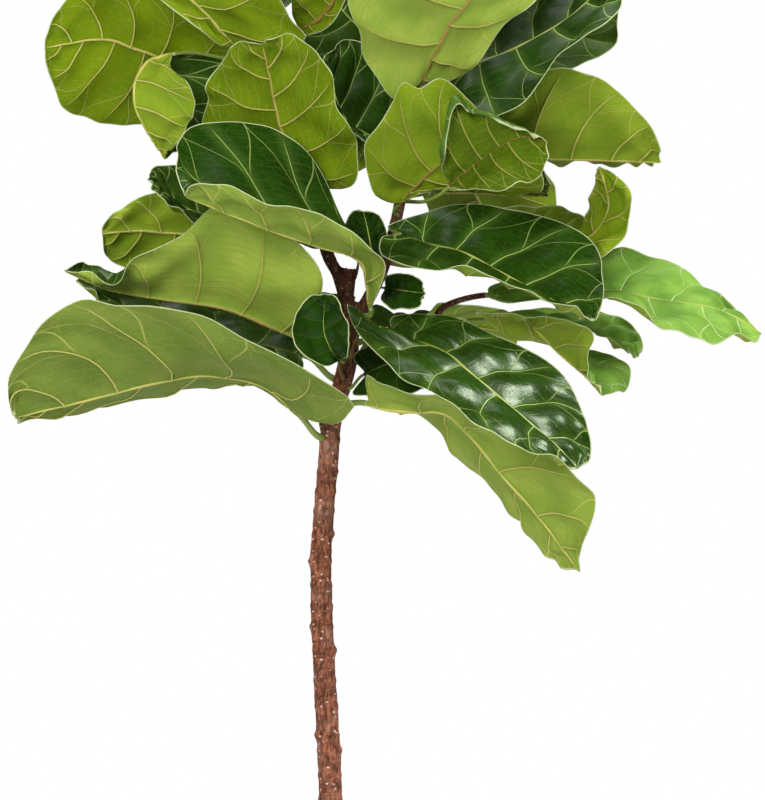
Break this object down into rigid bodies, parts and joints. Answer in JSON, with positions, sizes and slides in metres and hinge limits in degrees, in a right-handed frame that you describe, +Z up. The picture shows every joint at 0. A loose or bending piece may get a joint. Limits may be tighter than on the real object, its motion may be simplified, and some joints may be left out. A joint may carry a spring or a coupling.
{
  "type": "potted fiddle leaf fig",
  "caption": "Fiddle leaf fig grown as a standard: a bare woody trunk, a forked crown of large leathery leaves, and a plain round tapered pot of soil.",
  "frame": {"origin": "middle of the pot's flat base", "axes": "+Z up along the pot's axis, -Y towards the front of the plant, +X to the viewer's right"},
  "size_m": [0.8939, 0.5451, 1.6903],
  "materials": {
    "stoneware": "matte",
    "soil": "matte",
    "bark": "matte",
    "bud": "satin",
    "leaf": "satin"
  },
  "bodies": {
    "root": {"bud_left": "bud", "bud_right": "bud", "leaf_arch_left": "leaf", "leaf_back_1": "leaf", "leaf_back_2": "leaf", "leaf_back_3": "leaf", "leaf_back_4": "leaf", "leaf_back_5": "leaf", "leaf_back_6": "leaf", "leaf_back_7": "leaf", "leaf_centre_behind": "leaf", "leaf_centre_cup": "leaf", "leaf_centre_dark": "leaf", "leaf_centre_small": "leaf", "leaf_centre_upright": "leaf", "leaf_far_right": "leaf", "leaf_front_cup": "leaf", "leaf_heart": "leaf", "leaf_left_behind": "leaf", "leaf_left_dark_small": "leaf", "leaf_left_folded": "leaf", "leaf_low_left": "leaf", "leaf_low_right": "leaf", "leaf_low_right_hanging": "leaf", "leaf_low_right_inner": "leaf", "leaf_mid_left": "leaf", "leaf_mid_right": "leaf", "leaf_mid_right_shade": "leaf", "leaf_right_behind": "leaf", "leaf_right_hanging": "leaf", "leaf_right_small": "leaf", "leaf_right_upright": "leaf", "leaf_shade_left": "leaf", "leaf_top_1": "leaf", "leaf_top_2": "leaf", "leaf_top_3": "leaf", "leaf_top_4": "leaf", "leaf_top_5": "leaf", "leaf_top_6": "leaf", "leaf_top_7": "leaf", "leaf_top_8": "leaf", "leaf_top_centre": "leaf", "leaf_top_dark": "leaf", "leaf_top_left": "leaf", "leaf_top_right": "leaf", "leaf_top_right_behind": "leaf", "leaf_top_strip": "leaf", "leaf_twig_young": "leaf", "leaf_upper_left": "leaf", "leaf_upper_left_front": "leaf", "leaf_upper_right": "leaf", "pot": "stoneware", "soil": "soil", "trunk": "bark"}
  },
  "joints": []
}
